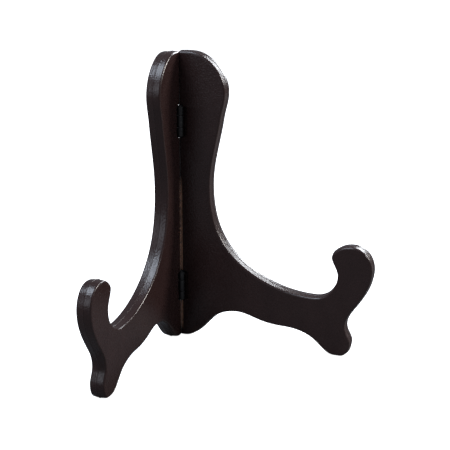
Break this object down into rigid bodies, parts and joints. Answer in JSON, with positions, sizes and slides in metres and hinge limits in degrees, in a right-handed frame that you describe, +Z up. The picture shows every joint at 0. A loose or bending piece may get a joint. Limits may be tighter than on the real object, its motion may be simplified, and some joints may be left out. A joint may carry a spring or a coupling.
{
  "type": "photo album stand",
  "caption": "Folding display stand for an album, plate or frame: flat moulded legs with scrolled front hooks, joined along a vertical spine by small butt hinges.",
  "frame": {"origin": "middle of the footprint, on the surface that the stand rests on", "axes": "+Z up along the fold line, -Y towards the open front where the album leans, +X to the right seen from the front"},
  "size_m": [0.166, 0.0836, 0.1627],
  "materials": {
    "leg_plastic": "fine pebble grain, satin black-brown",
    "hinge_steel": "black lacquer",
    "pin_steel": "black oxide",
    "screw_steel": "black zinc"
  },
  "bodies": {
    "right_half": {"right_leg": "leg_plastic", "upper_hinge_right_leaf": "hinge_steel", "upper_hinge_right_screw_1": "screw_steel", "upper_hinge_right_screw_2": "screw_steel", "upper_hinge_pin": "pin_steel", "lower_hinge_right_leaf": "hinge_steel", "lower_hinge_right_screw_1": "screw_steel", "lower_hinge_right_screw_2": "screw_steel", "lower_hinge_pin": "pin_steel"},
    "left_half": {"left_leg": "leg_plastic", "upper_hinge_left_leaf": "hinge_steel", "upper_hinge_left_screw_1": "screw_steel", "upper_hinge_left_screw_2": "screw_steel", "lower_hinge_left_leaf": "hinge_steel", "lower_hinge_left_screw_1": "screw_steel", "lower_hinge_left_screw_2": "screw_steel"}
  },
  "joints": [
    {"name": "fold", "type": "hinge", "parent": "right_half", "child": "left_half", "pos_m": [0, 0.03514, 0.08135], "axis": [0, 0, 1], "range_deg": [0, 90]}
  ]
}
